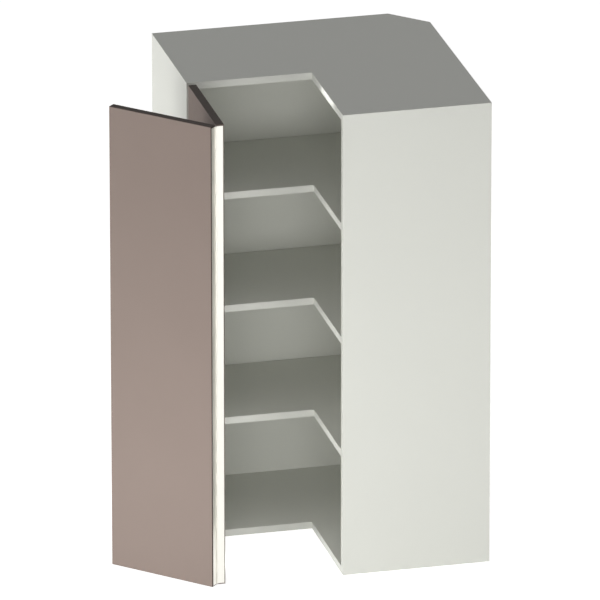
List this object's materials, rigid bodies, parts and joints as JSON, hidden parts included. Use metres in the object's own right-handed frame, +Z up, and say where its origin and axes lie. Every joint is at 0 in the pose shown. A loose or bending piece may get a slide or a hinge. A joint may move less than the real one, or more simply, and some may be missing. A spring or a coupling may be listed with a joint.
{
  "type": "corner wall cabinet",
  "caption": "L-shaped corner wall cabinet with a cut-off rear corner, open notch, fixed-height shelves and a folding pair of slab doors hung on its left side.",
  "frame": {"origin": "centre of the cabinet's wall-to-wall square, on the underside of the bottom panel", "axes": "+Z up, +Y to the wall behind the left wing, +X to the wall behind the right wing"},
  "size_m": [0.8038, 0.6096, 1.0668],
  "materials": {
    "carcass": "warm white melamine-faced board, satin",
    "door": "taupe lacquered slab, semi-gloss",
    "bright_metal": "polished bright",
    "steel": "nickel-plated pressed steel",
    "cast_metal": "zinc die-cast"
  },
  "bodies": {
    "cabinet": {"left_side_panel": "carcass", "right_side_panel": "carcass", "left_back_panel": "carcass", "right_back_panel": "carcass", "corner_back_panel": "carcass", "bottom_panel": "carcass", "top_panel": "carcass", "lower_shelf": "carcass", "middle_shelf": "carcass", "upper_shelf": "carcass", "lower_shelf_support_1": "steel", "lower_shelf_support_2": "steel", "lower_shelf_support_3": "steel", "lower_shelf_support_4": "steel", "lower_shelf_support_5": "steel", "lower_shelf_support_6": "steel", "middle_shelf_support_1": "steel", "middle_shelf_support_2": "steel", "middle_shelf_support_3": "steel", "middle_shelf_support_4": "steel", "middle_shelf_support_5": "steel", "middle_shelf_support_6": "steel", "upper_shelf_support_1": "steel", "upper_shelf_support_2": "steel", "upper_shelf_support_3": "steel", "upper_shelf_support_4": "steel", "upper_shelf_support_5": "steel", "upper_shelf_support_6": "steel", "bottom_hinge_arm": "steel", "middle_hinge_arm": "steel", "top_hinge_arm": "steel", "bottom_hinge_plate": "cast_metal", "middle_hinge_plate": "cast_metal", "top_hinge_plate": "cast_metal"},
    "hung_door": {"left_door": "door", "fold_hinge_left_leaf": "bright_metal", "fold_hinge_pin": "steel", "bottom_hinge_cup": "steel", "middle_hinge_cup": "steel", "top_hinge_cup": "steel", "bottom_hinge_pin": "steel", "middle_hinge_pin": "steel", "top_hinge_pin": "steel"},
    "folding_door": {"right_door": "door", "fold_hinge_right_leaf": "bright_metal"}
  },
  "joints": [
    {"name": "door_swing", "type": "hinge", "parent": "cabinet", "child": "hung_door", "pos_m": [-0.298, -0.0397, 0.5334], "axis": [0, 0, 1], "range_deg": [-5, 90]},
    {"name": "door_fold", "type": "hinge", "parent": "hung_door", "child": "folding_door", "pos_m": [-0.3032, -0.2928, 0.5334], "axis": [0, 0, 1], "range_deg": [-40, 45]}
  ]
}
